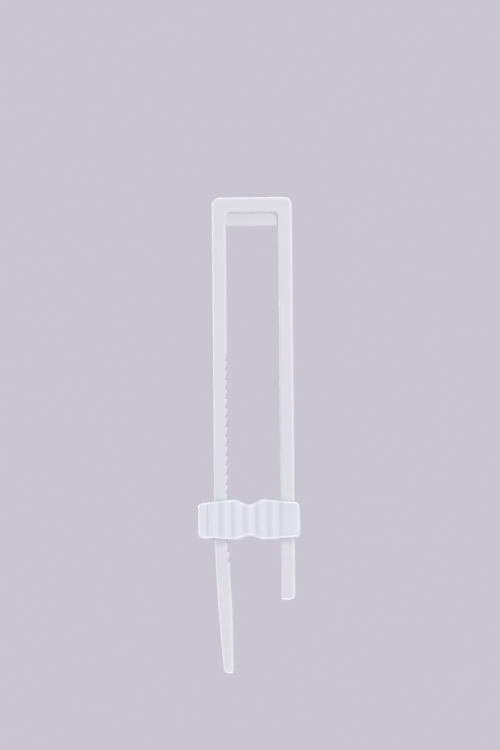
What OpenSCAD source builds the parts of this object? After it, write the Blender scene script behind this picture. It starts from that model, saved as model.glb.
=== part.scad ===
// Slide lock for a pair of cabinet handles: a U-shaped bow with a ratchet leg, and a housing that
// slides on both legs and is let go by a button. All sizes are in millimetres.
// The origin is the middle of the web's lower edge, where the gap between the legs begins.
// +Z points to the closed end, -Y to the front, and the ratchet leg stands at -X.
// A drop is a distance below the origin.

/* [Bow] */
// Width across the outside of both legs
bow_w = 33; // [31:0.5:36]
// Width of each leg, seen from the front
leg_w = 5.9; // [5.2:0.1:6.4]
// Depth of the bow from front to back
bow_d = 6; // [5:0.1:6.6]
// Height of the thick rim at the closed end
rim_h = 6.2; // [5:0.1:8]
// Height of the thin web between the rim and the gap
web_h = 5.7; // [4.5:0.1:8]
// Thickness of the web
web_t = 2.6; // [1.8:0.1:3.2]
// Outer corner radius of the closed end
corner_r = 3.3; // [2.4:0.1:4]
// Corner radius of the recess over the web
recess_r = 2; // [1:0.1:2.6]
// Rounding of the bow's long edges
edge_r = 1.1; // [0.5:0.1:1.3]
// Length of the short leg below the web
short_leg_l = 153.3; // [148:0.1:158]
// Length of the ratchet leg below the housing when the lock is open
tail_tip_l = 10.5; // [8:0.1:20]
// Width of the ratchet leg's tip
tail_tip_w = 4; // [3.8:0.1:5.2]
// Length over which the tail tapers to its tip
tail_taper_l = 28; // [15:1:32]
// Radius of the ratchet leg's end corners
leg_end_r = 1.6; // [0.6:0.1:1.8]
// Radius of the short leg's outer end corner
short_end_r = 2.2; // [0.6:0.1:3]
// How far above the short leg's end the ratchet leg begins to bend inwards
tail_bend_lead = 41.3; // [36:0.1:46]
// Radius of the tail's gentle bend
tail_bend_r = 700; // [600:10:1200]
// Height of the ridges that keep the housing on the tail
tail_stop_h = 0.6; // [0.4:0.1:1]

/* [Ratchet] */
// Distance from one notch to the next
notch_pitch = 3.9; // [3.6:0.1:4.2]
// Depth of a notch
notch_depth = 1.15; // [0.8:0.05:1.3]
// Flat left between two notches
notch_land = 0.6; // [0.3:0.1:1]
// Number of notches
notch_count = 22; // [20:1:22]
// How far above the short leg's end the lowest ledge lies
last_ledge_lead = 15.8; // [14:0.1:20]
// How far above the short leg's end the housing's middle is at rest, before it drops into a notch
rest_lead = 33; // [29:0.5:50]

/* [Housing] */
// Height of the housing beside its waist
housing_h = 16.2; // [15.2:0.1:18]
// Thickness of the walls outside the legs
end_wall = 1.9; // [1.6:0.1:2.2]
// Thickness of the front and back walls
face_wall = 1.95; // [1.6:0.05:2.2]
// Thickness of the front and back walls beside the button's head
mouth_wall = 1; // [0.8:0.05:1.4]
// Thickness of the top and bottom walls
rim_wall = 1.3; // [1:0.1:1.4]
// Width of the waist that dips into the outline
waist_w = 12.4; // [10:0.2:14]
// Depth of the waist at the top
waist_top = 2.2; // [0.8:0.1:2.4]
// Depth of the waist at the bottom
waist_bottom = 1.5; // [0.8:0.1:1.8]
// How much lower the top edge is at the ends
end_fall_top = 1.3; // [0:0.1:1.6]
// How much higher the bottom edge is at the ends
end_fall_bottom = 0.5; // [0:0.1:1.2]
// Corner radius of the outline's ends
end_r = 2; // [1:0.1:3]
// Rounding of the housing's upright edges at the closed end
side_r = 1.5; // [0.5:0.1:1.8]
// Number of grip ripples on the front
ripple_count = 7; // [5:1:7]
// Distance between two ripples
ripple_pitch = 4.9; // [4:0.1:5]
// Depth of the hollows between the ripples
ripple_depth = 0.5; // [0.2:0.05:0.7]
// Clearance between the legs and the housing
leg_gap = 0.3; // [0.2:0.05:0.5]
// Distance between the housing and the short leg's end when the lock is open
open_gap = 3; // [1:0.5:5]

/* [Release] */
// How far the button stands out of the housing
button_out = 4.3; // [3:0.1:5]
// Travel of the button
button_travel = 2.5; // [1.8:0.1:2.6]
// Clearance around the button
button_gap = 0.15; // [0.1:0.05:0.25]
// Length of the button's head that stays between the housing's walls
button_lap = 0.6; // [0.3:0.1:1]
// Thickness of the button's two arms
arm_t = 1.5; // [1:0.1:1.8]
// Clearance between the arms and the leg
arm_gap = 0.4; // [0.2:0.05:0.6]
// Thickness of the crossbar that joins the arms
crossbar_t = 1.8; // [1.4:0.1:2.4]
// Clearance above and below the crossbar under the waist
crossbar_gap = 0.3; // [0.2:0.05:0.6]
// How far the crossbar reaches past the arms, to meet its stops
stop_catch = 1.1; // [0.8:0.1:1.6]
// Height of the pawl's nose
nose_h = 2.6; // [2:0.1:2.8]
// Width of the pawl from front to back
pawl_w = 3.6; // [2.4:0.1:4.4]
// Thickness of the pawl's springy finger
finger_t = 0.95; // [0.7:0.05:1.1]
// Room behind the finger
finger_room = 1; // [0.7:0.1:1.2]
// Diameter of the peg that holds the pawl
peg_d = 1.4; // [1:0.1:1.6]
// Outside diameter of the return spring
spring_d = 3.6; // [3.2:0.1:4]
// Wire diameter of the return spring
spring_wire = 0.45; // [0.3:0.05:0.5]
// Distance between the return spring's turns at rest
spring_pitch = 1; // [0.9:0.05:1.4]

/* [Screws] */
// Shank diameter of the cover screws
screw_d = 2.2; // [1.8:0.1:2.4]
// Head diameter of the cover screws
screw_head_d = 3.8; // [3.4:0.1:4]
// Height of the screw heads
screw_head_h = 1.5; // [1.2:0.1:1.6]
// Length of the screws under the head
screw_l = 9; // [7:0.5:9.2]
// Wall between a screw head's recess and the housing's edge
screw_edge = 1.4; // [1:0.1:1.8]

/* [Hidden] */
$fn = 48;

shell_white = [0.92, 0.92, 0.94];
steel_grey = [0.66, 0.67, 0.69];

// Overlap that fuses the parts of one solid, and overshoot of cuts
fuse = 0.4;
over = 1;
// Steps in a rounded corner of an outline
corner_steps = 6;
// Clearance of a peg or screw in its hole, of a loose hole, and of faces that nearly touch
hole_gap = 0.03;
loose_gap = 0.15;
face_gap = 0.1;

// Bow
bow_top = web_h + rim_h;
leg_x = (bow_w - leg_w) / 2;
inner_x = bow_w / 2 - leg_w;
web_edge_r = 0.8;
tail_bend_from = short_leg_l - tail_bend_lead;

// Notches, and the housing's place at rest with the pawl in the nearest one
notch_slope_h = notch_pitch - notch_land;
first_ledge = short_leg_l - last_ledge_lead - (notch_count - 1) * notch_pitch;
pawl_seat = 0.05;
ledge_below = nose_h / 2 + pawl_seat;
rest_notch = round((short_leg_l - rest_lead + ledge_below - first_ledge) / notch_pitch);
rest_ledge = first_ledge + rest_notch * notch_pitch;
housing_z = ledge_below - rest_ledge;
housing_top_drop = -housing_z - housing_h / 2;
housing_foot_drop = -housing_z + housing_h / 2;
open_travel = short_leg_l + open_gap - housing_top_drop;

// How far the bent tail leans inwards at a drop
function tail_shift(drop) =
    let (run = max(0, drop - tail_bend_from)) tail_bend_r - sqrt(pow(tail_bend_r, 2) - pow(run, 2));
tail_room = tail_shift(housing_foot_drop + open_travel);
tail_stop_drop = housing_foot_drop + open_travel + leg_gap;
tail_stop_l = 2.2;
ratchet_leg_l = tail_stop_drop + tail_tip_l;

// Housing's outside and inside
housing_w = bow_w + 2 * (leg_gap + end_wall);
housing_left = -housing_w / 2;
hollow_d = bow_d + 2 * (arm_gap + arm_t + button_gap);
housing_d = hollow_d + 2 * face_wall;
slot_d = bow_d + 2 * leg_gap;
slot_inner = tail_room + leg_gap - inner_x;
end_wall_x = bow_w / 2 + leg_gap;
ripple_hollow_w = 0.7 * ripple_pitch;
mouth_l = button_lap + button_travel + leg_gap;
mouth_d = housing_d - 2 * mouth_wall;

// Outline that the housing and the button share
outline_w = housing_w + button_out;
outline_x = -button_out / 2;
waist_steps = 14;
function waist(u) = abs(u) < waist_w / 2 ? (1 + cos(360 * u / waist_w)) / 2 : 0;
function end_fall(u) = max(0, abs(u) - waist_w / 2) / (outline_w / 2 - waist_w / 2);
function top_edge(u) = housing_h / 2 - waist_top * waist(u) - end_fall_top * end_fall(u);
function bottom_edge(u) = waist_bottom * waist(u) + end_fall_bottom * end_fall(u) - housing_h / 2;

// Button
crossbar_d = hollow_d - 2 * button_gap;
head_d = mouth_d - 2 * button_gap;
head_back = -bow_w / 2 - leg_gap - button_travel;
head_r = 1.4;
arm_inner = bow_d / 2 + arm_gap;
crossbar_h = housing_h - 2 * (max(waist_top, waist_bottom) + rim_wall + crossbar_gap);
arm_h = crossbar_h - 2 * stop_catch;
crossbar_left = slot_inner + 4 * face_gap;
crossbar_right = crossbar_left + crossbar_t;
stop_rib_t = 1.2;
stop_rib_gap = 3 * face_gap;

// Screws, beside the short leg
boss_wall = 1;
boss_clear = 0.5;
slot_clear = 0.75;
head_room = 0.2;
front_boss_r = screw_d / 2 + boss_wall;
back_boss_r = screw_head_d / 2 + boss_wall;
screw_x = inner_x - leg_gap - slot_clear - back_boss_r;
screw_z = housing_h / 2 - screw_edge - head_room - screw_head_d / 2;
screw_seat_y = hollow_d / 2 - face_gap;
recess_l = 0.65 * screw_head_d;
recess_w = 0.6;
recess_deep = 0.9;

// Spring, from the crossbar to its seat, and pawl
seat_t = 1.4;
seat_h = spring_d + 2 * boss_clear;
seat_left = screw_x - front_boss_r - boss_clear - seat_t;
spring_end_gap = 0.05;
spring_l = seat_left - crossbar_right - 2 * spring_end_gap;
spring_turns = floor(spring_l / spring_pitch);
spring_guide_gap = 0.25;
spring_guide_d = spring_d - 2 * (spring_wire + spring_guide_gap);
spring_guide_l = (spring_l - button_travel) / 4;
pawl_base_h = 2;
peg_z = crossbar_h / 2 - face_gap - pawl_base_h / 2;
nose_gap = 0.15;

// A rectangle with four rounded corners
module rounded(w, h, r) {
    square([w - 2 * r, h], center = true);
    square([w, h - 2 * r], center = true);
    for (x = [-1, 1], y = [-1, 1]) translate([x * (w / 2 - r), y * (h / 2 - r)]) circle(r);
}

// A strip of the bow's section from 0 to w, with its far edges rounded
module edge_strip(w) {
    translate([0, -bow_d / 2]) square([w - edge_r, bow_d]);
    translate([0, edge_r - bow_d / 2]) square([w, bow_d - 2 * edge_r]);
    for (y = [-1, 1]) translate([w - edge_r, y * (bow_d / 2 - edge_r)]) circle(edge_r);
}

// The waste outside a rounded corner whose point is at the origin and whose body lies at -x, +y
module corner_waste(r) {
    difference() {
        translate([-r, -over]) square(r + over);
        translate([-r, r]) circle(r);
    }
}

// Points of a rounded corner, from one angle to another
function corner_arc(x, z, r, from, to) = [
    for (i = [0 : corner_steps])
        let (a = from + (to - from) * i / corner_steps) [x + r * cos(a), z + r * sin(a)]
];

// A flat shape in x and z, made solid from front to back
module through_y(d) {
    rotate([90, 0, 0]) linear_extrude(d, center = true) children();
}

// A flat shape in y and z, made solid from side to side
module through_x(l) {
    rotate([90, 0, 90]) linear_extrude(l, center = true) children();
}

// Places a piece on the ratchet leg's middle line, with x inwards and z up along the leg
module on_ratchet_leg(drop) {
    if (drop <= tail_bend_from) {
        translate([-leg_x, 0, -drop]) children();
    } else {
        bend = (drop - tail_bend_from) / tail_bend_r * 180 / PI;
        translate([tail_bend_r - leg_x, 0, -tail_bend_from]) rotate([0, -bend, 0])
            translate([-tail_bend_r, 0, 0]) children();
    }
}

// Closed end of the bow: a thick rounded rim over a thin web
module closed_end() {
    recess_x = inner_x - recess_r;
    recess_z = web_h - recess_r;
    outer_x = bow_w / 2 - corner_r;
    outer_z = bow_top - corner_r;
    ring_w = edge_r + fuse;
    through_x(2 * recess_x) translate([0, web_h + rim_h / 2]) rounded(bow_d, rim_h, edge_r);
    through_x(2 * outer_x) translate([0, outer_z]) rotate(90) edge_strip(corner_r);
    through_x(2 * (inner_x + fuse)) translate([0, (web_h + edge_r + fuse) / 2])
        rounded(web_t, web_h + edge_r + fuse, web_edge_r);
    for (side = [0, 1]) mirror([side, 0, 0]) {
        translate([outer_x, 0, outer_z]) rotate([90, 0, 0]) rotate_extrude(angle = 90) edge_strip(corner_r);
        translate([recess_x, 0, recess_z]) rotate([90, 0, 0]) rotate_extrude(angle = 90)
            translate([recess_r + ring_w, 0]) mirror([1, 0]) edge_strip(ring_w);
        through_y(bow_d) difference() {
            translate([recess_x, recess_z]) square([outer_x - recess_x, outer_z - recess_z]);
            translate([recess_x, recess_z]) circle(recess_r + edge_r);
        }
    }
}

// Leg from a drop up to the closed end's corner
module straight_leg(drop) {
    translate([0, 0, -drop]) linear_extrude(drop + bow_top - corner_r) rounded(leg_w, bow_d, edge_r);
}

// Lower stretch of the ratchet leg, bent gently inwards, with an overshoot that the tip's cut takes off
module tail() {
    bend = (ratchet_leg_l + over - tail_bend_from) / tail_bend_r * 180 / PI;
    translate([tail_bend_r - leg_x, 0, -tail_bend_from]) rotate([90, 0, 0]) rotate([0, 0, 180])
        rotate_extrude(angle = bend) translate([tail_bend_r, 0]) rounded(leg_w, bow_d, edge_r);
}

// Waste round the tip of the tail, from its outer corner to its inner side, which leans to the tip
module tip_waste() {
    tip_x = tail_tip_w - leg_w / 2;
    lean = (leg_w - tail_tip_w + pow(tail_taper_l, 2) / (2 * tail_bend_r)) / tail_taper_l;
    inner_corner_x = tip_x + leg_end_r * (lean - sqrt(1 + lean * lean));
    reach = tail_taper_l + over;
    on_ratchet_leg(ratchet_leg_l) through_y(bow_d + 2 * over) polygon(concat(
        [[-leg_w, leg_end_r]],
        corner_arc(leg_end_r - leg_w / 2, leg_end_r, leg_end_r, 180, 270),
        corner_arc(inner_corner_x, leg_end_r, leg_end_r, 270, 360 - atan(lean)),
        [[tip_x + lean * reach, reach], [leg_w, reach], [leg_w, -2 * over], [-leg_w, -2 * over]]
    ));
}

// Ridges on the tail's front and back that keep the housing from coming off
module tail_stop() {
    on_ratchet_leg(tail_stop_drop) for (side = [0, 1]) mirror([0, side, 0])
        through_x(leg_w - 2 * edge_r - fuse) polygon([
            [bow_d / 2 - fuse, 0],
            [bow_d / 2 + tail_stop_h, 0],
            [bow_d / 2 + tail_stop_h, -tail_stop_l / 4],
            [bow_d / 2 - fuse, -tail_stop_l]
        ]);
}

// One ratchet notch: a flat ledge that faces up and a slope above it
module notch() {
    root = leg_w / 2 - notch_depth;
    reach = notch_depth + over;
    through_y(bow_d + 2 * over) polygon([
        [root, 0],
        [root + reach, 0],
        [root + reach, notch_slope_h * reach / notch_depth]
    ]);
}

module bow() {
    color(shell_white) difference() {
        union() {
            closed_end();
            translate([leg_x, 0, 0]) straight_leg(short_leg_l);
            translate([-leg_x, 0, 0]) straight_leg(tail_bend_from);
            tail();
            tail_stop();
        }
        for (i = [0 : notch_count - 1]) on_ratchet_leg(first_ledge + i * notch_pitch) notch();
        translate([bow_w / 2, 0, -short_leg_l]) through_y(bow_d + 2 * over) corner_waste(short_end_r);
        tip_waste();
    }
}

// Outline of housing and button seen from the front, shrunk at top and bottom by an inset
module outline(inset = 0) {
    corner_u = outline_w / 2 - end_r;
    top_z = top_edge(corner_u) - inset;
    foot_z = bottom_edge(corner_u) + inset;
    waist_u = [for (i = [0 : waist_steps]) waist_w * (i / waist_steps - 1 / 2)];
    translate([outline_x, 0]) polygon(concat(
        [for (u = waist_u) [u, top_edge(u) - inset]],
        corner_arc(corner_u, top_z - end_r, end_r, 90, 0),
        corner_arc(corner_u, foot_z + end_r, end_r, 0, -90),
        [for (u = waist_u) [-u, bottom_edge(u) + inset]],
        corner_arc(-corner_u, foot_z + end_r, end_r, -90, -180),
        corner_arc(-corner_u, top_z - end_r, end_r, 180, 90)
    ));
}

// Plan of the housing, rounded at its closed end
module housing_plan() {
    translate([housing_left, -housing_d / 2]) square([housing_w - side_r, housing_d]);
    translate([housing_left, side_r - housing_d / 2]) square([housing_w, housing_d - 2 * side_r]);
    for (y = [-1, 1]) translate([housing_w / 2 - side_r, y * (housing_d / 2 - side_r)]) circle(side_r);
}

// Half of the housing as an open shell: side -1 is the front, side 1 the back
module shell(side) {
    tall = housing_h + 2 * over;
    difference() {
        intersection() {
            translate([0, side * housing_d / 4, 0]) through_y(housing_d / 2) outline();
            linear_extrude(tall, center = true) housing_plan();
        }
        through_y(hollow_d) intersection() {
            outline(rim_wall);
            translate([housing_left - over, -tall / 2]) square([end_wall_x - housing_left + over, tall]);
        }
        translate([housing_left - over, -mouth_d / 2, -tall / 2]) cube([mouth_l + over, mouth_d, tall]);
        translate([-bow_w / 2 - leg_gap, -slot_d / 2, -tall / 2])
            cube([slot_inner + bow_w / 2 + leg_gap, slot_d, tall]);
        translate([inner_x - leg_gap, -slot_d / 2, -tall / 2]) cube([leg_w + 2 * leg_gap, slot_d, tall]);
    }
    for (up = [0, 1]) mirror([0, 0, up]) stop_rib(side);
}

// Rib beside the leg that stops the button's crossbar at rest
module stop_rib(side) {
    reach = hollow_d / 2 - slot_d / 2 + fuse;
    lift = arm_h / 2 + stop_rib_gap;
    lip = housing_h / 2 - rim_wall + fuse - lift;
    translate([crossbar_left - face_gap - stop_rib_t, 0, lift])
        translate([0, side > 0 ? slot_d / 2 : -slot_d / 2 - reach, 0]) cube([stop_rib_t, reach, lip]);
}

// Places a piece at both screws, with its z to the back of the housing
module at_screws() {
    for (z = [-1, 1]) translate([screw_x, 0, z * screw_z]) rotate([-90, 0, 0]) children();
}

module housing_front() {
    hollow_r = (pow(ripple_hollow_w / 2, 2) + pow(ripple_depth, 2)) / (2 * ripple_depth);
    color(shell_white) translate([0, 0, housing_z]) difference() {
        union() {
            shell(-1);
            at_screws() translate([0, 0, -hollow_d / 2 - fuse]) cylinder(hollow_d / 2 + fuse, r = front_boss_r);
        }
        for (i = [0 : ripple_count - 2])
            translate([outline_x + (i - ripple_count / 2 + 1) * ripple_pitch, 0, 0])
                translate([0, ripple_depth - hollow_r - housing_d / 2, 0])
                    cylinder(housing_h + 2 * over, r = hollow_r, center = true);
        at_screws() translate([0, 0, screw_seat_y - screw_l - fuse])
            cylinder(screw_l + fuse, d = screw_d + 2 * hole_gap);
    }
}

module housing_back() {
    color(shell_white) translate([0, 0, housing_z]) difference() {
        union() {
            shell(1);
            at_screws() cylinder(hollow_d / 2 + fuse, r = back_boss_r);
            translate([seat_left, face_gap - hollow_d / 2, -seat_h / 2])
                cube([seat_t, hollow_d - face_gap + fuse, seat_h]);
            translate([seat_left + fuse, 0, 0]) rotate([0, -90, 0])
                cylinder(spring_guide_l + fuse, d = spring_guide_d);
        }
        at_screws() translate([0, 0, -over]) cylinder(housing_d, d = screw_d + 2 * loose_gap);
        at_screws() translate([0, 0, screw_seat_y]) cylinder(housing_d, d = screw_head_d + 2 * head_room);
    }
}

// Button: a head outside the leg, two arms past the leg's front and back, and a crossbar inside it
module release_button() {
    head_left = housing_left - button_out;
    head_w = max(housing_left + button_lap, head_back) - head_left;
    color(shell_white) translate([0, 0, housing_z]) difference() {
        union() {
            difference() {
                intersection() {
                    through_y(head_d) outline();
                    linear_extrude(housing_h, center = true) translate([head_left, 0]) {
                        translate([head_r, -head_d / 2]) square([head_w - head_r, head_d]);
                        translate([0, head_r - head_d / 2]) square([head_w, head_d - 2 * head_r]);
                        for (y = [-1, 1]) translate([head_r, y * (head_d / 2 - head_r)]) circle(head_r);
                    }
                }
                translate([head_back, -arm_inner, -housing_h]) cube([head_w, 2 * arm_inner, 2 * housing_h]);
            }
            for (side = [0, 1]) mirror([0, side, 0]) translate([head_back - fuse, arm_inner, -arm_h / 2])
                cube([crossbar_right - head_back + fuse, arm_t, arm_h]);
            translate([crossbar_left, -crossbar_d / 2, -crossbar_h / 2])
                cube([crossbar_t, crossbar_d, crossbar_h]);
            translate([crossbar_right - fuse, 0, 0]) rotate([0, 90, 0])
                cylinder(spring_guide_l + fuse, d = spring_guide_d);
        }
        translate([crossbar_left - over, 0, peg_z]) rotate([0, 90, 0])
            cylinder(crossbar_t + 2 * over, d = peg_d + 2 * hole_gap);
    }
}

// Pawl: a nose on a springy finger that hangs from a base pegged into the crossbar
module pawl() {
    tip_x = tail_shift(rest_ledge) - inner_x - notch_depth + nose_gap;
    lean = notch_depth / notch_slope_h;
    finger_x = crossbar_left - finger_room - finger_t;
    base_top = peg_z + pawl_base_h / 2;
    base_foot = peg_z - pawl_base_h / 2;
    color(shell_white) translate([0, 0, housing_z]) {
        through_y(pawl_w) polygon([
            [tip_x, -nose_h / 2],
            [finger_x + finger_t, -nose_h / 2],
            [finger_x + finger_t, base_foot],
            [crossbar_left, base_foot],
            [crossbar_left, base_top],
            [finger_x, base_top],
            [finger_x, nose_h / 2],
            [tip_x + lean * nose_h, nose_h / 2]
        ]);
        translate([crossbar_left - fuse, 0, peg_z]) rotate([0, 90, 0]) cylinder(crossbar_t + fuse, d = peg_d);
    }
}

// One ring of the spring's wire, at a place along the coil from 0 to 1
wire_sides = 6;
rings_a_turn = 8;
coil_r = (spring_d - spring_wire) / 2;
coil_l = spring_l - spring_wire;
function coil_ring(t) = [
    for (k = [0 : wire_sides - 1])
        let (
            turn = 360 * spring_turns * t,
            a = 360 * k / wire_sides,
            r = coil_r + spring_wire / 2 * cos(a),
            x = coil_l * t + spring_wire / 2 * (1 + sin(a))
        ) [x, r * cos(turn), r * sin(turn)]
];

// Return spring between the crossbar and its seat, one unbroken wire
module return_spring() {
    rings = spring_turns * rings_a_turn;
    points = [for (i = [0 : rings]) each coil_ring(i / rings)];
    sides = [
        for (i = [0 : rings - 1], k = [0 : wire_sides - 1])
            let (
                a = i * wire_sides + k,
                b = i * wire_sides + (k + 1) % wire_sides
            ) each [[a, b, a + wire_sides], [b, b + wire_sides, a + wire_sides]]
    ];
    start_cap = [for (k = [1 : wire_sides - 2]) [0, k + 1, k]];
    last = rings * wire_sides;
    end_cap = [for (k = [1 : wire_sides - 2]) [last, last + k, last + k + 1]];
    color(steel_grey) translate([crossbar_right + spring_end_gap, 0, housing_z])
        polyhedron(points, concat(sides, start_cap, end_cap));
}

// Two self-tapping screws with cross-recessed heads
module cover_screws() {
    color(steel_grey) translate([0, 0, housing_z]) at_screws() translate([0, 0, screw_seat_y]) difference() {
        union() {
            translate([0, 0, -screw_l]) cylinder(screw_l, d = screw_d);
            cylinder(screw_head_h, d = screw_head_d);
        }
        for (turn = [0, 90]) rotate([0, 0, turn]) translate([0, 0, screw_head_h])
            cube([recess_l, recess_w, 2 * recess_deep], center = true);
    }
}

bow();
housing_front();
housing_back();
release_button();
pawl();
return_spring();
cover_screws();
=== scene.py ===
"""Looks of a cabinet slide lock: refined white mouldings, steel parts, soft light and the camera."""

import math

import bmesh
import bpy
from mathutils import Matrix, Vector


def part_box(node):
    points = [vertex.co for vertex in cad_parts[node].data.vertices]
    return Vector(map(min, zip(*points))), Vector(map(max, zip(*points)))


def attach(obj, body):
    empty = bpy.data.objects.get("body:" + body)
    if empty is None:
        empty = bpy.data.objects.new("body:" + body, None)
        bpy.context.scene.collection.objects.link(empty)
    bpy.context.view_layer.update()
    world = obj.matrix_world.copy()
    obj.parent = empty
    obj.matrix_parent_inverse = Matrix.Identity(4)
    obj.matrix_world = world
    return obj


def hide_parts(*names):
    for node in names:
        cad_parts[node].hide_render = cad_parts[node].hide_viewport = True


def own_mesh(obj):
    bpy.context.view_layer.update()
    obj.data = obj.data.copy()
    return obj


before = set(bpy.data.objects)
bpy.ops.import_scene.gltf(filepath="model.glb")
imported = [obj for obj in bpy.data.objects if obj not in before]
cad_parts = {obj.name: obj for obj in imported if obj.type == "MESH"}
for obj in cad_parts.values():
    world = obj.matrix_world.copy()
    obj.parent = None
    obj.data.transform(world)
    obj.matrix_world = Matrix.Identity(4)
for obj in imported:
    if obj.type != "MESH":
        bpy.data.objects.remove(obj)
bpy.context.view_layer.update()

MM = 0.001

# Places taken from the frame
bow_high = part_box("bow")[1]
front_low, front_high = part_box("housing_front")
back_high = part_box("housing_back")[1]
button_low, button_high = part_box("release_button")
spring_low, spring_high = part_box("return_spring")
screws_low, screws_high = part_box("cover_screws")
housing_z = (front_low.z + front_high.z) / 2

# Fine finish of the mouldings
SKIN = 0.02 * MM
SEAM_H = 0.04 * MM
SEAM_W = 0.12 * MM
EDGE_ANGLE = 40

# Bow: a leg at each side of a closed end
HALF_W = bow_high.x
BOW_TOP = bow_high.z
BOW_D = 6 * MM
LEG_W = 5.9 * MM
EDGE_R = 1.1 * MM
EDGE_STEPS = 7
FLAT_SHARES = (0.82, 0.3)
LEAST_SLANT = 0.4
ROUND_SHARE = 0.96
CORNER_R = 3.3 * MM
INNER_X = HALF_W - LEG_W
LEG_X = HALF_W - LEG_W / 2
LEG_TOP = 10 * MM
CLOSED_END_Z = -6 * MM

# Web: a thin plate in the closed end
WEB_H = 5.7 * MM
WEB_T = 2.6 * MM
WEB_EDGE_R = 0.8 * MM
WEB_FILLET_R = 0.3 * MM
WEB_SINK = 0.5 * MM
WEB_STEP = 0.15 * MM
WEB_STEPS = 22
RECESS_R = 2 * MM

# Short leg
SHORT_LEG = 153.3 * MM
SHORT_END_L = 4 * MM
SHORT_END_R = 2.2 * MM
SHORT_INNER_R = 0.5 * MM
SHORT_FACE_R = 0.8 * MM

# Ratchet leg with its bent and tapered tail
RATCHET_LEG = 183.3 * MM
BEND_FROM = 112 * MM
BEND_R = 700 * MM
TAPER_L = 28 * MM
TIP_W = 4 * MM
TIP_R = 1.6 * MM
TIP_FACE_R = 0.9 * MM

# Ridges that keep the housing on the tail
STOP_DROP = 172.8 * MM
STOP_H = 0.58 * MM
STOP_L = 2.2 * MM
STOP_SLOPE = 0.75
STOP_FOOT = 0.02 * MM
STOP_CREST = 0.05 * MM

# Notches, with the curves of their lips and roots as steps along and across the leg
NOTCHES = 22
NOTCH_PITCH = 3.9 * MM
NOTCH_DEPTH = 1.15 * MM
NOTCH_SLOPE = 3.3 * MM
FIRST_LEDGE = 55.6 * MM
LIP_R = 0.26 * MM
LIP_CURVE = ((0.10 * MM, 0.08 * MM), (0.03 * MM, 0.2 * MM))
ROOT_CURVE = ((0.0, 0.24 * MM), (0.06 * MM, 0.10 * MM))
BELOW_NOTCHES = 0.8 * MM
PLAIN_GAP = 1 * MM

# Housing: two shells that share an outline with the button
HOUSING_RIGHT = front_high.x
HOUSING_LEFT = front_low.x
HOUSING_H = front_high.z - front_low.z
FACE_Y = back_high.y
BUTTON_LEFT = button_low.x
OUTLINE_X = (HOUSING_RIGHT + BUTTON_LEFT) / 2
OUTLINE_HALF = (HOUSING_RIGHT - BUTTON_LEFT) / 2
WAIST_W = 12.4 * MM
WAIST_TOP = 2.2 * MM
WAIST_BOTTOM = 1.7 * MM
END_FALL_TOP = 1.45 * MM
END_FALL_BOTTOM = 0.75 * MM
END_R = 2 * MM
SIDE_R = 1.5 * MM
FACE_EDGE_R = 1.1 * MM
SHELL_EDGE_STEPS = 8
SHELL_STEPS = 130
MOUTH_R = 0.7 * MM
SPLIT_CHAMFER = 0.16 * MM
RIPPLES = 7
RIPPLE_PITCH = 4.9 * MM
RIPPLE_DEPTH = 0.56 * MM

# Button
BUTTON_NECK = 0.8 * MM
BUTTON_SIDE_R = 1.6 * MM
BUTTON_EDGE_R = 1.2 * MM
FREE_EDGE_R = 0.2 * MM
FREE_STEP = 0.01 * MM

# Return spring
WIRE_R = 0.225 * MM
WIRE_SIDES = 10
SPRING_TURNS = 8
TURN_STEPS = 28
CLOSE_PITCH = 2.15 * WIRE_R

# Cover screws
CORE_R = 0.82 * MM
THREAD_R = 1.08 * MM
THREAD_PITCH = 0.8 * MM
THREAD_SHARE = 0.3
THREAD_STEPS = 130
POINT_L = 1.8 * MM
POINT_SHARE = 0.35
HEAD_R = (screws_high.x - screws_low.x) / 2
HEAD_H = 1.5 * MM
HEAD_SIDE_H = 0.55 * MM
HEAD_CHAMFER = 0.1 * MM
DOME_TURN = math.pi / 2.4
DOME_POWER = 0.6
CROSS_L = 2.4 * MM
CROSS_W = 0.62 * MM
CROSS_DEEP = 0.85 * MM
CROSS_OVER = 0.2 * MM
CROSS_FOOT = 0.55
CROSS_MOUTH = 1.05
CROSS_TURNS = (35, 125)
SCREW_SIDES = 40
SCREW_EDGE_ANGLE = 35

# Pawl
PAWL_EDGE_R = 0.15 * MM
FLAT_ANGLE = 1

# Floor and surroundings
FLOOR_Z = -0.24
FLOOR_R = 6
FLOOR_FADE = (0.15, 0.75)
FLOOR_TONE = (0.546, 0.537, 0.57)
BACK_TONE = (0.585, 0.565, 0.64)
LIGHT_AIM = Vector((0, 0, -0.09))


def ease(share):
    """A smooth step from 0 to 1."""
    share = max(0.0, min(1.0, share))
    return share * share * (3 - 2 * share)


def round_off(distance, radius):
    """How far a rounded edge has drawn in at a distance from its end."""
    if distance >= radius:
        return 0.0
    return radius - math.sqrt(max(0.0, radius ** 2 - (radius - distance) ** 2))


def steps(start, end, count):
    """Evenly spaced values from start to end, both included."""
    return [start + (end - start) * i / count for i in range(count + 1)]


def quarter_turn(count):
    """Evenly spaced angles of a quarter turn."""
    return steps(0, math.pi / 2, count)


def make(name, mesh):
    """A new object from a bmesh."""
    data = bpy.data.meshes.new(name)
    bmesh.ops.recalc_face_normals(mesh, faces=mesh.faces)
    mesh.to_mesh(data)
    mesh.free()
    made = bpy.data.objects.new(name, data)
    bpy.context.scene.collection.objects.link(made)
    return made


def loft(name, rings):
    """A closed skin over rings of points, with a flat face at both ends."""
    mesh = bmesh.new()
    rows = [[mesh.verts.new(p) for p in ring] for ring in rings]
    for row, above in zip(rows, rows[1:]):
        for k in range(len(row)):
            mesh.faces.new((row[k - 1], row[k], above[k], above[k - 1]))
    mesh.faces.new(rows[0])
    mesh.faces.new(rows[-1])
    return make(name, mesh)


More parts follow.
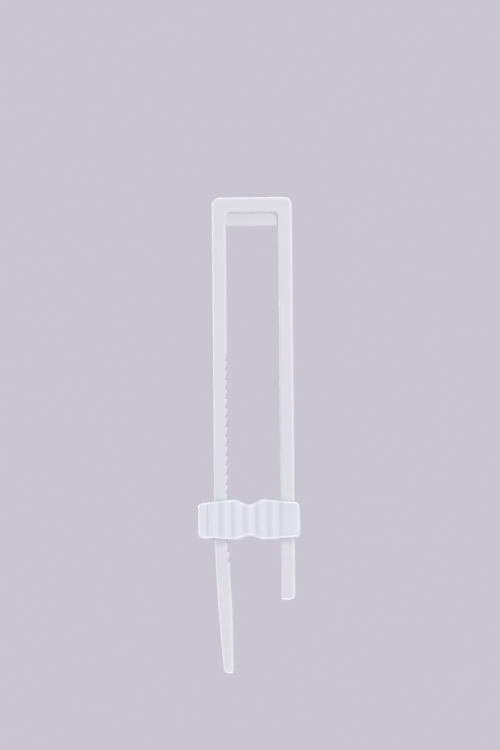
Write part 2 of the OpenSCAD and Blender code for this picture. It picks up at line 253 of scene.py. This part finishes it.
def combine(piece, other, operation):
    """Joins another solid to a piece, cuts it out, or keeps what both share."""
    change = piece.modifiers.new("combine", "BOOLEAN")
    change.operation = operation
    change.solver = "EXACT"
    change.object = other
    bpy.context.view_layer.update()
    shown = piece.evaluated_get(bpy.context.evaluated_depsgraph_get())
    result = bpy.data.meshes.new_from_object(shown)
    piece.modifiers.clear()
    piece.data = result
    bpy.data.objects.remove(other)
    return piece


def solid_copy(node, name):
    """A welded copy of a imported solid, as a new piece."""
    mesh = bmesh.new()
    mesh.from_mesh(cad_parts[node].data)
    bmesh.ops.remove_doubles(mesh, verts=mesh.verts, dist=0.001 * MM)
    return make(name, mesh)


def soften(piece, width):
    """Rounds the sharp edges of a piece a little."""
    mesh = bmesh.new()
    mesh.from_mesh(piece.data)
    flat = math.radians(FLAT_ANGLE)
    bmesh.ops.dissolve_limit(mesh, angle_limit=flat, verts=mesh.verts, edges=mesh.edges)
    joined = [edge for edge in mesh.edges if len(edge.link_faces) == 2]
    sharp = [edge for edge in joined if edge.calc_face_angle() > math.radians(EDGE_ANGLE)]
    bmesh.ops.bevel(
        mesh, geom=sharp, offset=width, segments=3, profile=0.5, affect="EDGES", clamp_overlap=True
    )
    mesh.to_mesh(piece.data)
    mesh.free()


def finish_piece(piece, body, slot, material, *nodes, angle=EDGE_ANGLE):
    """Shades a piece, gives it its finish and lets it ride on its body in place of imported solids."""
    piece.data.materials.clear()
    piece.data.materials.append(material)
    piece.data.shade_smooth()
    piece.data.set_sharp_from_angle(angle=math.radians(angle))
    even = piece.modifiers.new("even shading", "WEIGHTED_NORMAL")
    even.keep_sharp = True
    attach(piece, body)
    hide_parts(*nodes)
    return piece


# Materials


def new_material(name):
    """A node material, its nodes and links, its shader and the object's own coordinates."""
    material = bpy.data.materials.new(name)
    material.use_nodes = True
    nodes = material.node_tree.nodes
    links = material.node_tree.links
    shader = nodes["Principled BSDF"]
    place = nodes.new("ShaderNodeTexCoord").outputs["Object"]
    return material, nodes, links, shader, place


def noise(nodes, links, place, size, detail):
    """Noise whose blotches have a real size."""
    made = nodes.new("ShaderNodeTexNoise")
    made.inputs["Scale"].default_value = 1 / size
    made.inputs["Detail"].default_value = detail
    links.new(place, made.inputs["Vector"])
    return made.outputs["Fac"]


def spread(nodes, links, value, low, high):
    """Noise spread over a range of values."""
    made = nodes.new("ShaderNodeMapRange")
    made.inputs["From Min"].default_value = 0.3
    made.inputs["From Max"].default_value = 0.7
    made.inputs["To Min"].default_value = low
    made.inputs["To Max"].default_value = high
    links.new(value, made.inputs["Value"])
    return made.outputs["Result"]


def tones(nodes, links, value, dark, light):
    """Noise as a mix of two colours."""
    made = nodes.new("ShaderNodeMix")
    made.data_type = "RGBA"
    made.inputs["A"].default_value = (*dark, 1)
    made.inputs["B"].default_value = (*light, 1)
    links.new(spread(nodes, links, value, 0, 1), made.inputs["Factor"])
    return made.outputs["Result"]


def roughen(nodes, links, height, shader, strength, distance):
    """A fine bump on a shader."""
    made = nodes.new("ShaderNodeBump")
    made.inputs["Strength"].default_value = strength
    made.inputs["Distance"].default_value = distance
    links.new(height, made.inputs["Height"])
    links.new(made.outputs["Normal"], shader.inputs["Normal"])


def plastic(name, dark, light, roughness):
    """White moulded plastic: faint flow marks, satin gloss that varies, and a fine mould grain."""
    material, nodes, links, shader, place = new_material(name)
    flow = noise(nodes, links, place, size=14 * MM, detail=4)
    links.new(tones(nodes, links, flow, dark, light), shader.inputs["Base Color"])
    gloss = noise(nodes, links, place, size=3.5 * MM, detail=5)
    uneven = spread(nodes, links, gloss, low=roughness - 0.05, high=roughness + 0.07)
    links.new(uneven, shader.inputs["Roughness"])
    grain = noise(nodes, links, place, size=0.22 * MM, detail=3)
    roughen(nodes, links, grain, shader, strength=0.12, distance=0.03 * MM)
    shader.inputs["IOR"].default_value = 1.49
    shader.inputs["Subsurface Weight"].default_value = 0.12
    shader.inputs["Subsurface Radius"].default_value = (1.0, 0.95, 0.9)
    shader.inputs["Subsurface Scale"].default_value = 0.7 * MM
    return material


def steel(name, dark, light, roughness):
    """Bright metal with drawing marks and uneven gloss."""
    material, nodes, links, shader, place = new_material(name)
    tarnish = noise(nodes, links, place, size=2.5 * MM, detail=4)
    links.new(tones(nodes, links, tarnish, dark, light), shader.inputs["Base Color"])
    gloss = noise(nodes, links, place, size=0.5 * MM, detail=3)
    uneven = spread(nodes, links, gloss, low=roughness - 0.06, high=roughness + 0.1)
    links.new(uneven, shader.inputs["Roughness"])
    marks = noise(nodes, links, place, size=0.12 * MM, detail=2)
    roughen(nodes, links, marks, shader, strength=0.15, distance=0.02 * MM)
    shader.inputs["Metallic"].default_value = 1
    return material


bow_white = plastic("bow_white", (0.78, 0.79, 0.795), (0.81, 0.82, 0.825), 0.36)
housing_white = plastic("housing_white", (0.78, 0.81, 0.825), (0.81, 0.84, 0.85), 0.34)
# The button's white is a lighter copy of the housing's white: painted light that lifts the shade the
# housing's step casts on the button's face.
button_white_painted_light = plastic("button_white_painted_light", (0.81, 0.83, 0.845), (0.84, 0.86, 0.87), 0.34)
pawl_white = plastic("pawl_white", (0.74, 0.74, 0.71), (0.79, 0.79, 0.76), 0.45)
spring_bright = steel("spring_bright", (0.55, 0.56, 0.58), (0.68, 0.69, 0.71), 0.24)
screw_zinc = steel("screw_zinc", (0.58, 0.6, 0.63), (0.72, 0.73, 0.75), 0.32)


# Bow


def corner_points(radius_u, radius_v, half_u, half_v, count):
    """One quarter of a rounded rectangle, from its far side in u round to its far side in v."""
    return [
        (half_u - radius_u + radius_u * math.cos(a), half_v - radius_v + radius_v * math.sin(a))
        for a in quarter_turn(count)
    ]


def section(half_u, half_v, radius_u, radius_v, ridge=0.0):
    """A rounded rectangle with a fine seam on both sides, and room for a ridge on the flat faces."""
    side_u = half_u - SEAM_H
    quarter = corner_points(radius_u, radius_v, side_u, half_v, EDGE_STEPS)
    flat_u = side_u - radius_u
    flat = [(flat_u * share, half_v + ridge) for share in FLAT_SHARES]
    side = [(half_u, 0.0), (side_u, SEAM_W)] + quarter + flat
    across = [(-u, v) for u, v in reversed(side)]
    top = side + across
    return top + [(u, -v) for u, v in reversed(top[1:-1])]


def bow_ring(outer, inner, normal, half_v=BOW_D / 2, cut=None, ridge=0.0, inner_slide=0.0):
    """A section of the bow between an outer and an inner point of its outline."""
    reach = inner - outer
    half_u = reach.length / 2
    along = reach.normalized()
    radius_u = min(EDGE_R / max(LEAST_SLANT, abs(along.dot(normal))), ROUND_SHARE * half_u)
    radius_v = min(EDGE_R, ROUND_SHARE * half_v)
    middle = (outer + inner) / 2
    points = []
    for u, v in section(half_u, half_v, radius_u, radius_v, ridge):
        slide = 0.0
        if cut is not None:
            slide = inner_slide * ease((u + half_u) / (1.2 * half_u))
            u = min(u, cut)
        points.append(middle + along * u + Vector((0, v, -slide)))
    return points


def leg_place(drop):
    """Middle of the ratchet leg at a drop, and the direction across it, inwards."""
    bend = max(0.0, drop - BEND_FROM) / BEND_R
    straight = min(drop, BEND_FROM)
    middle = Vector((BEND_R * (1 - math.cos(bend)) - LEG_X, 0, -straight - BEND_R * math.sin(bend)))
    return middle, Vector((math.cos(bend), 0, -math.sin(bend)))


def taper_cut(drop):
    """How much narrower the tail is on its inner side at a drop."""
    run = max(0.0, drop - RATCHET_LEG + TAPER_L)
    sag = TAPER_L ** 2 / (2 * BEND_R)
    line = (LEG_W - TIP_W + sag) * run / TAPER_L
    return max(0.0, line - (TAPER_L ** 2 - (TAPER_L - run) ** 2) / (2 * BEND_R))


def stop_height(drop):
    """Height of the ridges that keep the housing on the tail."""
    below = drop - STOP_DROP
    if below < 0 or below > STOP_L:
        return 0.0
    return STOP_H * min(1.0, (STOP_L - below) / (STOP_SLOPE * STOP_L))


def tail_ring(drop):
    """A section of the ratchet leg or its tail, which is drawn in round its tip."""
    middle, across = leg_place(drop)
    left = RATCHET_LEG - drop
    draw = round_off(left, TIP_R)
    outer = middle - across * (LEG_W / 2 - draw)
    inner = middle + across * (LEG_W / 2 - taper_cut(drop) - draw)
    half_v = BOW_D / 2 - round_off(left, TIP_FACE_R)
    return bow_ring(outer, inner, across, half_v, ridge=stop_height(drop))


def notch_rings(ledge):
    """Sections through one notch, upwards from just below its ledge."""
    full = LEG_W / 2
    root = full - NOTCH_DEPTH
    lean = NOTCH_DEPTH / NOTCH_SLOPE
    profile = [(LIP_R, full)]
    profile += [(below, full - inwards) for below, inwards in LIP_CURVE]
    profile += [(-above, root + outwards) for above, outwards in ROOT_CURVE]
    profile.append((-LIP_R, root + LIP_R * lean))
    profile.append((-NOTCH_SLOPE / 2, root + NOTCH_DEPTH / 2))
    profile.append((-NOTCH_SLOPE, full))
    rings = []
    for k, (below, cut) in enumerate(profile):
        even = LIP_R - (NOTCH_SLOPE + LIP_R) * k / (len(profile) - 1)
        middle, across = leg_place(ledge + even)
        outer = middle - across * full
        inner = middle + across * full
        rings.append(bow_ring(outer, inner, across, cut=cut, inner_slide=below - even))
    return rings


def closed_end_pairs():
    """Outer and inner outline points round one corner of the closed end, from leg to rim."""
    outer_x, outer_z = HALF_W - CORNER_R, BOW_TOP - CORNER_R
    recess_x, recess_z = INNER_X - RECESS_R, WEB_H - RECESS_R
    pairs = []
    for share in steps(0, 1, 5):
        outer = Vector((HALF_W, 0, CLOSED_END_Z + (outer_z - CLOSED_END_Z) * share))
        inner = Vector((INNER_X, 0, CLOSED_END_Z + (recess_z - CLOSED_END_Z) * share))
        pairs.append((outer, inner, Vector((1, 0, 0))))
    for turn in quarter_turn(12)[1:]:
        normal = Vector((math.cos(turn), 0, math.sin(turn)))
        outer = Vector((outer_x, 0, outer_z)) + normal * CORNER_R
        inner = Vector((recess_x, 0, recess_z)) + normal * RECESS_R
        pairs.append((outer, inner, normal))
    for share in steps(0, 1, 5)[1:]:
        outer = Vector((outer_x * (1 - share), 0, BOW_TOP))
        inner = Vector((recess_x * (1 - share), 0, WEB_H))
        pairs.append((outer, inner, Vector((0, 0, 1))))
    return pairs


def short_leg_rings():
    """Sections of the short leg, whose lower end has its rounder corner outside."""
    right = Vector((1, 0, 0))
    rings = []
    for drop in steps(LEG_TOP, SHORT_LEG - SHORT_END_L, 8):
        side = Vector((0, 0, -drop))
        rings.append(bow_ring(side + right * HALF_W, side + right * INNER_X, right))
    for left in steps(SHORT_END_R, 0, 9):
        z = left - SHORT_LEG
        outer = Vector((HALF_W - round_off(left, SHORT_END_R), 0, z))
        inner = Vector((INNER_X + round_off(left, SHORT_INNER_R), 0, z))
        half_v = BOW_D / 2 - round_off(left, SHORT_FACE_R)
        rings.append(bow_ring(outer, inner, right, half_v))
    return rings


def mirrored(point):
    """A point on the other side of the bow."""
    return Vector((-point.x, point.y, point.z))


def bow_rings():
    """All sections of the bow, from the tail's tip round the closed end to the short leg's end."""
    tip = [RATCHET_LEG - TIP_R * (1 - math.cos(a)) for a in quarter_turn(9)]
    slope_foot = STOP_DROP + STOP_L
    slope_top = STOP_DROP + (1 - STOP_SLOPE) * STOP_L
    tail = steps(RATCHET_LEG - TIP_R, slope_foot, 4)[1:-1]
    tail += [slope_foot, slope_top, STOP_DROP + STOP_CREST, STOP_DROP - STOP_FOOT]
    lowest_ledge = FIRST_LEDGE + (NOTCHES - 1) * NOTCH_PITCH
    tail += steps(STOP_DROP - PLAIN_GAP, lowest_ledge + BELOW_NOTCHES, 14)
    rings = [tail_ring(drop) for drop in tip + tail]
    for i in reversed(range(NOTCHES)):
        rings += notch_rings(FIRST_LEDGE + i * NOTCH_PITCH)
    for drop in steps(FIRST_LEDGE - NOTCH_SLOPE - PLAIN_GAP, LEG_TOP, 6):
        rings.append(tail_ring(drop))
    corner = closed_end_pairs()
    for outer, inner, normal in corner:
        rings.append(bow_ring(mirrored(outer), mirrored(inner), mirrored(normal)))
    for outer, inner, normal in reversed(corner[:-1]):
        rings.append(bow_ring(outer, inner, normal))
    return rings + short_leg_rings()


def web_half_thickness(x, z):
    """Half of the web's thickness, rounded at its lower edge and filleted at the rim and legs."""
    past_x = abs(x) - (INNER_X - RECESS_R)
    past_z = z - (WEB_H - RECESS_R)
    if past_x > 0 and past_z > 0:
        inside = RECESS_R - math.hypot(past_x, past_z)
    else:
        inside = min(INNER_X - abs(x), WEB_H - z)
    fillet = round_off(max(0.0, inside), WEB_FILLET_R)
    return WEB_T / 2 - round_off(z, WEB_EDGE_R) + fillet


def web():
    """Thin plate in the closed end, which runs a little way into the rim and legs."""
    edge = [INNER_X + WEB_SINK - WEB_STEP * i for i in range(WEB_STEPS)]
    half = edge + steps(edge[-1], 0, 6)[1:-1]
    across = [-x for x in half] + [0.0] + list(reversed(half))
    lower = [WEB_EDGE_R * (1 - math.cos(a)) for a in quarter_turn(6)]
    upward = lower + steps(lower[-1], WEB_H + WEB_SINK, 26)[1:]
    rings = []
    for x in across:
        front = [Vector((x, -web_half_thickness(x, z), z)) for z in upward]
        back = [Vector((x, web_half_thickness(x, z), z)) for z in reversed(upward)]
        rings.append(front + back)
    return loft("web", rings)


bow = combine(loft("bow_moulding", bow_rings()), web(), "UNION")
finish_piece(bow, "bow", "bow_plastic", bow_white, "bow")


# Housing and button


def waist(u):
    """Share of the waist's depth across the outline."""
    return (1 + math.cos(2 * math.pi * u / WAIST_W)) / 2 if abs(u) < WAIST_W / 2 else 0.0


def end_fall(u):
    """Share of the outline's fall towards its ends."""
    return max(0.0, abs(u) - WAIST_W / 2) / (OUTLINE_HALF - WAIST_W / 2)


def end_draw(u):
    """How far the outline's rounded end corners have drawn in."""
    return round_off(max(0.0, OUTLINE_HALF - abs(u)), END_R)


def top_edge(x):
    """Height of the outline's upper edge over the housing's middle."""
    u = x - OUTLINE_X
    return HOUSING_H / 2 - WAIST_TOP * waist(u) - END_FALL_TOP * end_fall(u) - end_draw(u) - SKIN


def bottom_edge(x):
    """Height of the outline's lower edge over the housing's middle."""
    u = x - OUTLINE_X
    return WAIST_BOTTOM * waist(u) + END_FALL_BOTTOM * end_fall(u) + end_draw(u) + SKIN - HOUSING_H / 2


def ripple(x):
    """Depth of the grip ripples across the front, which run out at both ends."""
    u = x - OUTLINE_X
    reach = (RIPPLES - 1) / 2 * RIPPLE_PITCH
    if abs(u) > reach:
        return 0.0
    phase = (u + reach) / RIPPLE_PITCH
    return RIPPLE_DEPTH * (1 - math.cos(2 * math.pi * phase)) / 2


def shell_section(x, face, top, bottom):
    """Half a rounded rectangle from the split at y = 0 to a face, as points from top to bottom."""
    high, low, deep = top - FACE_EDGE_R, bottom + FACE_EDGE_R, face - FACE_EDGE_R
    points = [(0.0, top - SPLIT_CHAMFER), (SPLIT_CHAMFER, top)]
    for a in quarter_turn(SHELL_EDGE_STEPS):
        points.append((deep + FACE_EDGE_R * math.sin(a), high + FACE_EDGE_R * math.cos(a)))
    for z in steps(high, low, 6)[1:-1]:
        points.append((face, z))
    for a in quarter_turn(SHELL_EDGE_STEPS):
        points.append((deep + FACE_EDGE_R * math.cos(a), low - FACE_EDGE_R * math.sin(a)))
    points += [(SPLIT_CHAMFER, bottom), (0.0, bottom + SPLIT_CHAMFER)]
    return [(x, y, z) for y, z in points]


def shell_envelope(name, side, rippled):
    """Outer form of one half of the housing, with soft edges."""
    stations = [HOUSING_LEFT + SKIN + MOUTH_R * (1 - math.cos(a)) for a in quarter_turn(SHELL_EDGE_STEPS)]
    stations += steps(stations[-1], HOUSING_RIGHT - END_R, SHELL_STEPS)[1:]
    stations += [HOUSING_RIGHT - SKIN - END_R * (1 - math.sin(a)) for a in quarter_turn(12)[1:]]
    rings = []
    for x in stations:
        mouth = round_off(x - HOUSING_LEFT - SKIN, MOUTH_R)
        side_draw = round_off(max(0.0, HOUSING_RIGHT - SKIN - x), SIDE_R)
        face = FACE_Y - SKIN - side_draw - mouth - (ripple(x) if rippled else 0.0)
        ring = shell_section(x, face, top_edge(x) - mouth, bottom_edge(x) + mouth)
        rings.append([Vector((px, side * py, pz + housing_z)) for px, py, pz in ring])
    return loft(name, rings)


def button_envelope():
    """Outer form of the button's head with soft edges, and free room round its arms."""
    half_d = button_high.y - SKIN
    neck = HOUSING_LEFT + BUTTON_NECK
    stations = [BUTTON_LEFT + SKIN + END_R * (1 - math.cos(a)) for a in quarter_turn(14)]
    stations += steps(BUTTON_LEFT + SKIN + END_R, neck, 8)[1:]
    stations += [neck + FREE_STEP, 0.0]
    rings = []
    for x in stations:
        if x > neck:
            wide, top, bottom, edge_r = 2 * half_d, HOUSING_H, -HOUSING_H, FREE_EDGE_R
        else:
            wide = half_d - round_off(x - BUTTON_LEFT - SKIN, BUTTON_SIDE_R)
            top, bottom, edge_r = top_edge(x), bottom_edge(x), BUTTON_EDGE_R
        quarter = corner_points(edge_r, edge_r, wide, (top - bottom) / 2, SHELL_EDGE_STEPS)
        upper = quarter + [(-y, z) for y, z in reversed(quarter)]
        ring = upper + [(-y, -z) for y, z in upper]
        middle = (top + bottom) / 2 + housing_z
        rings.append([Vector((x, y, z + middle)) for y, z in ring])
    return loft("button_envelope", rings)


front_form = shell_envelope("front_form", -1, True)
front = combine(solid_copy("housing_front", "front_shell"), front_form, "INTERSECT")
finish_piece(front, "housing", "housing_plastic", housing_white, "housing_front")
back_form = shell_envelope("back_form", 1, False)
back = combine(solid_copy("housing_back", "back_shell"), back_form, "INTERSECT")
finish_piece(back, "housing", "housing_plastic", housing_white, "housing_back")
button = combine(solid_copy("release_button", "button_moulding"), button_envelope(), "INTERSECT")
finish_piece(button, "button", "button_plastic", button_white_painted_light, "release_button")


# Return spring


def coil_points():
    """Middle line of the return spring, with close-wound end turns."""
    start, end = spring_low.x + WIRE_R, spring_high.x - WIRE_R
    open_pitch = (end - start - 2 * CLOSE_PITCH) / (SPRING_TURNS - 2)
    coil_r = (spring_high.z - spring_low.z) / 2 - WIRE_R
    points = []
    for t in steps(0, SPRING_TURNS, SPRING_TURNS * TURN_STEPS):
        close = min(t, 1.0) + max(0.0, t - SPRING_TURNS + 1)
        x = start + CLOSE_PITCH * close + open_pitch * (t - close)
        turn = 2 * math.pi * t
        points.append(Vector((x, coil_r * math.cos(turn), housing_z + coil_r * math.sin(turn))))
    return points


def coiled_wire(name, points):
    """A round wire along the line of a coil."""
    turns = [2 * math.pi * k / WIRE_SIDES for k in range(WIRE_SIDES)]
    rings = []
    for i, point in enumerate(points):
        forward = (points[min(i + 1, len(points) - 1)] - points[max(i - 1, 0)]).normalized()
        out = (point - Vector((point.x, 0, housing_z))).normalized()
        out = (out - forward * out.dot(forward)).normalized()
        up = forward.cross(out)
        rings.append([point + WIRE_R * (out * math.cos(a) + up * math.sin(a)) for a in turns])
    return loft(name, rings)


spring = coiled_wire("spring_coil", coil_points())
finish_piece(spring, "housing", "spring_steel", spring_bright, "return_spring")
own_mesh(spring)


# Cover screws


def thread_radius(y, turn):
    """Radius of a screw's shank: a helical thread on a core, pointed at the tip."""
    phase = (y / THREAD_PITCH - turn / (2 * math.pi)) % 1
    crest = max(0.0, 1 - abs(phase - 0.5) / THREAD_SHARE)
    point = POINT_SHARE + (1 - POINT_SHARE) * ease((y - screws_low.y) / POINT_L)
    return point * (CORE_R + (THREAD_R - CORE_R) * crest)


def cross_bar(x, z, turn):
    """One bar of a cross recess, narrower towards its bottom."""
    rings = []
    for y, share in ((screws_high.y - CROSS_DEEP, CROSS_FOOT), (screws_high.y + CROSS_OVER, CROSS_MOUTH)):
        half_l, half_w = CROSS_L / 2 * share, CROSS_W / 2 * (0.5 + 0.5 * share)
        ring = []
        for a, b in ((1, 1), (-1, 1), (-1, -1), (1, -1)):
            along, side = a * half_l, b * half_w
            dx = along * math.cos(turn) - side * math.sin(turn)
            dz = along * math.sin(turn) + side * math.cos(turn)
            ring.append(Vector((x + dx, y, z + dz)))
        rings.append(ring)
    return loft("cross_bar", rings)


def screw(name, x, z):
    """A self-tapping screw with a domed head and a cross recess."""
    turns = [2 * math.pi * k / SCREW_SIDES for k in range(SCREW_SIDES)]
    seat_y = screws_high.y - HEAD_H
    levels = [(y, None) for y in steps(screws_low.y, seat_y, THREAD_STEPS)]
    levels += [(seat_y, HEAD_R - HEAD_CHAMFER), (seat_y + HEAD_CHAMFER, HEAD_R)]
    for a in steps(0, DOME_TURN, 8):
        rise = (HEAD_H - HEAD_SIDE_H) * math.sin(a) / math.sin(DOME_TURN)
        levels.append((seat_y + HEAD_SIDE_H + rise, HEAD_R * math.cos(a) ** DOME_POWER))
    rings = []
    for y, radius in levels:
        ring = []
        for turn in turns:
            r = thread_radius(y, turn) if radius is None else radius
            ring.append(Vector((x + r * math.cos(turn), y, z + r * math.sin(turn))))
        rings.append(ring)
    made = loft(name, rings)
    for degrees in CROSS_TURNS:
        combine(made, cross_bar(x, z, math.radians(degrees)), "DIFFERENCE")
    return made


screw_x = (screws_low.x + screws_high.x) / 2
for screw_name, screw_z in (
    ("screw_upper", screws_high.z - HEAD_R),
    ("screw_lower", screws_low.z + HEAD_R),
):
    cover_screw = screw(screw_name, screw_x, screw_z)
    finish_piece(cover_screw, "housing", "screw_steel", screw_zinc, "cover_screws", angle=SCREW_EDGE_ANGLE)


# Pawl


pawl = solid_copy("pawl", "pawl_moulding")
soften(pawl, PAWL_EDGE_R)
finish_piece(pawl, "button", "pawl_plastic", pawl_white, "pawl")
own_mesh(pawl)


# Floor, light and camera


def make_floor():
    """A wide pale floor that passes into the pale surroundings."""
    mesh = bmesh.new()
    bmesh.ops.create_circle(mesh, cap_ends=True, segments=96, radius=FLOOR_R)
    bmesh.ops.translate(mesh, verts=mesh.verts, vec=(0, 0, FLOOR_Z))
    floor = make("floor", mesh)
    material, nodes, links, shader, place = new_material("floor_pale")
    shader.inputs["Base Color"].default_value = (*FLOOR_TONE, 1)
    shader.inputs["Roughness"].default_value = 0.8
    shader.inputs["Specular IOR Level"].default_value = 0
    glow = nodes.new("ShaderNodeEmission")
    glow.inputs["Color"].default_value = (*BACK_TONE, 1)
    length = nodes.new("ShaderNodeVectorMath")
    length.operation = "LENGTH"
    links.new(place, length.inputs[0])
    fade = nodes.new("ShaderNodeMapRange")
    fade.interpolation_type = "SMOOTHSTEP"
    fade.inputs["From Min"].default_value = FLOOR_FADE[0]
    fade.inputs["From Max"].default_value = FLOOR_FADE[1]
    links.new(length.outputs["Value"], fade.inputs["Value"])
    mix = nodes.new("ShaderNodeMixShader")
    links.new(fade.outputs["Result"], mix.inputs["Fac"])
    links.new(shader.outputs["BSDF"], mix.inputs[1])
    links.new(glow.outputs["Emission"], mix.inputs[2])
    links.new(mix.outputs["Shader"], nodes["Material Output"].inputs["Surface"])
    floor.data.materials.append(material)
    floor.visible_shadow = False


def make_world():
    """Pale surroundings of one tone."""
    world = bpy.data.worlds.new("surroundings")
    bpy.context.scene.world = world
    world.use_nodes = True
    background = world.node_tree.nodes["Background"]
    background.inputs["Color"].default_value = (*BACK_TONE, 1)
    background.inputs["Strength"].default_value = 1


def soft_light(name, place, size, watts, tint):
    """A soft box that faces the lock."""
    lamp = bpy.data.lights.new(name, "AREA")
    lamp.shape = "RECTANGLE"
    lamp.size, lamp.size_y = size
    lamp.energy = watts
    lamp.color = tint
    made = bpy.data.objects.new(name, lamp)
    made.location = place
    made.rotation_euler = (LIGHT_AIM - Vector(place)).to_track_quat("-Z", "Y").to_euler()
    made.visible_camera = False
    bpy.context.scene.collection.objects.link(made)


def make_camera(azimuth, elevation, roll, distance, lens, aim):
    """A long lens that looks at a point."""
    a, e = math.radians(azimuth), math.radians(elevation)
    away = Vector((math.sin(a) * math.cos(e), -math.cos(a) * math.cos(e), math.sin(e)))
    lens_data = bpy.data.cameras.new("camera")
    lens_data.lens = lens
    lens_data.sensor_width = 36
    lens_data.clip_start = 0.01
    camera = bpy.data.objects.new("camera", lens_data)
    turn = (-away).to_track_quat("-Z", "Y").to_matrix() @ Matrix.Rotation(math.radians(roll), 3, "Z")
    camera.matrix_world = Matrix.Translation(Vector(aim) + away * distance) @ turn.to_4x4()
    bpy.context.scene.collection.objects.link(camera)
    bpy.context.scene.camera = camera


make_floor()
make_world()
soft_light("front", place=(1.2, -1.6, 1.2), size=(0.38, 0.38), watts=11.6, tint=(1, 0.99, 0.97))
soft_light("fill", place=(0.45, -1.95, -0.4), size=(0.6, 0.6), watts=6.4, tint=(1, 0.99, 0.98))
soft_light("top", place=(0.1, -0.02, 1.1), size=(0.9, 0.25), watts=4.0, tint=(1, 1, 1))
soft_light("left", place=(-1.0, -0.03, 0.0), size=(0.2, 0.9), watts=3.4, tint=(1, 0.99, 1))
soft_light("right", place=(1.0, -0.03, 0.0), size=(0.2, 0.9), watts=1.1, tint=(1, 0.99, 0.98))
soft_light("below", place=(0, 0.02, -0.9), size=(0.8, 0.2), watts=3.5, tint=(1, 0.99, 1))
soft_light("back", place=(-1.0, 1.7, 0.5), size=(0.5, 0.5), watts=11, tint=(1, 0.99, 0.98))
make_camera(azimuth=2.2, elevation=-4.5, roll=-0.48, distance=1.75, lens=205, aim=(-0.0014, 0, -0.0612))

bpy.context.scene.view_settings.view_transform = "Standard"
